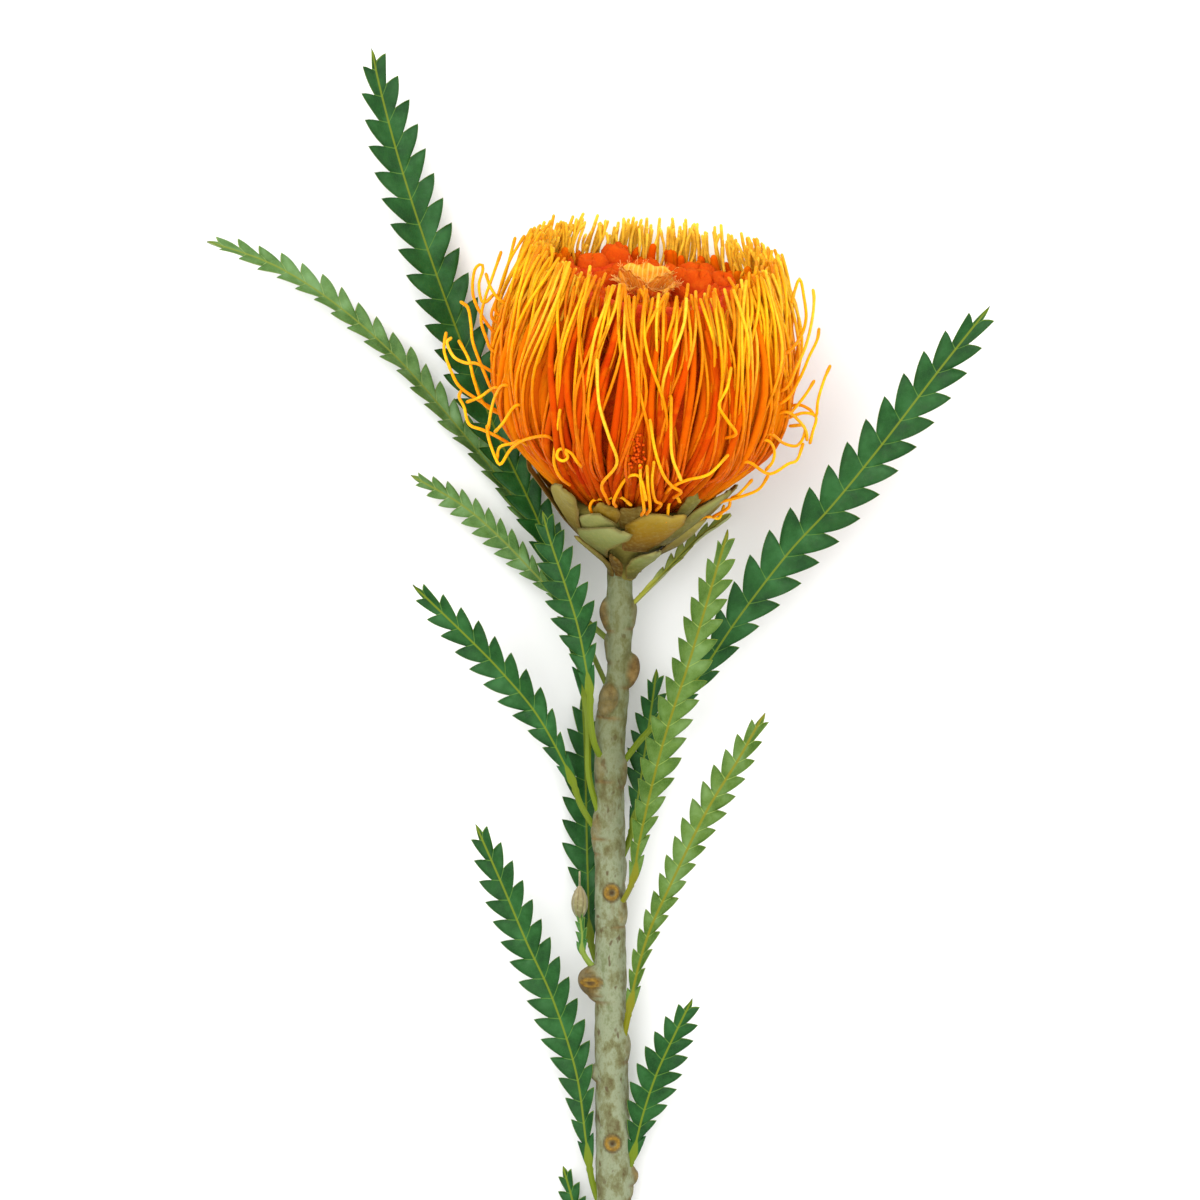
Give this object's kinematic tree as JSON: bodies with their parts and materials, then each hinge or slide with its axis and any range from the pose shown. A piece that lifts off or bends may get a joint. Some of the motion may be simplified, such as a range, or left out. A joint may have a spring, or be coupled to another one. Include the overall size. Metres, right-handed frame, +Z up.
{
  "type": "banksia flower",
  "caption": "Orange banksia flower head in a cup of bracts on a cut woody stem with saw-cut leaves, lying on a surface.",
  "frame": {"origin": "centre of the foot of the bounding box, on the surface that the cut flower lies on", "axes": "+Y along the stem towards the flower head, +Z up from the surface, +X across the stem"},
  "size_m": [0.2038, 0.3344, 0.0752],
  "materials": {
    "stem": "matt pale bark",
    "involucre_bracts": "dry and matt",
    "flower_head": "smooth, slightly waxy styles",
    "centre_bracts": "woolly",
    "dark_leaf": "satin, leathery",
    "pale_leaf": "matt, leathery",
    "side_shoot": "matt, downy"
  },
  "bodies": {
    "root": {"stem": "stem", "involucre_bracts": "involucre_bracts", "flower_head": "flower_head", "centre_bracts": "centre_bracts", "leaf_upper_left": "dark_leaf", "leaf_front_left": "dark_leaf", "leaf_arching_left": "pale_leaf", "leaf_pale_left": "pale_leaf", "leaf_mid_left": "dark_leaf", "leaf_back_left": "dark_leaf", "leaf_low_left": "dark_leaf", "leaf_bottom_left": "dark_leaf", "leaf_upper_right": "dark_leaf", "leaf_front_right": "pale_leaf", "leaf_back_right": "dark_leaf", "leaf_pale_right": "pale_leaf", "leaf_low_right": "dark_leaf", "leaf_neck_right": "pale_leaf", "side_shoot": "side_shoot"}
  },
  "joints": []
}
